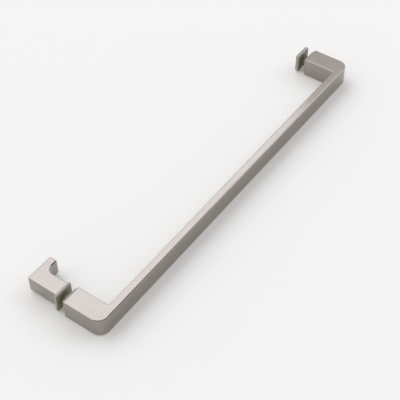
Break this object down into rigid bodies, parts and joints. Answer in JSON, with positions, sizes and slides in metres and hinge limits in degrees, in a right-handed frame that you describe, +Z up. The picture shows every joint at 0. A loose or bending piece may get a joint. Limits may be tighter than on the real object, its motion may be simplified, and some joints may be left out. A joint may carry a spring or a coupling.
{
  "type": "shower door handle",
  "caption": "Flat square-cornered towel-bar handle for a glass shower door, with a hooked finger pull behind one post and a square cap plate behind the other.",
  "frame": {"origin": "midway between the two glass holes, on the outer face of the glass", "axes": "+X along the bar from the pull end to the plain end, +Y through the glass to its inside, +Z up with the bar level"},
  "size_m": [0.4812, 0.0993, 0.024],
  "materials": {
    "satin_nickel": "nickel plate, polished to a soft gloss, with faint grain along its length",
    "fastener_steel": "plain stainless steel, turned",
    "grey_vinyl": "soft grey vinyl, matt, a little translucent at its edges",
    "nylon": "natural nylon gone olive, slightly translucent"
  },
  "bodies": {
    "root": {"handle_bar": "satin_nickel", "finger_pull": "satin_nickel", "cap_plate": "satin_nickel", "pull_stud": "fastener_steel", "cap_screw": "fastener_steel", "set_screw": "fastener_steel", "post_gasket_pull_end": "grey_vinyl", "post_gasket_plain_end": "grey_vinyl", "pull_gasket": "grey_vinyl", "cap_gasket": "grey_vinyl", "bushing_pull_end": "nylon", "bushing_plain_end": "nylon"}
  },
  "joints": []
}
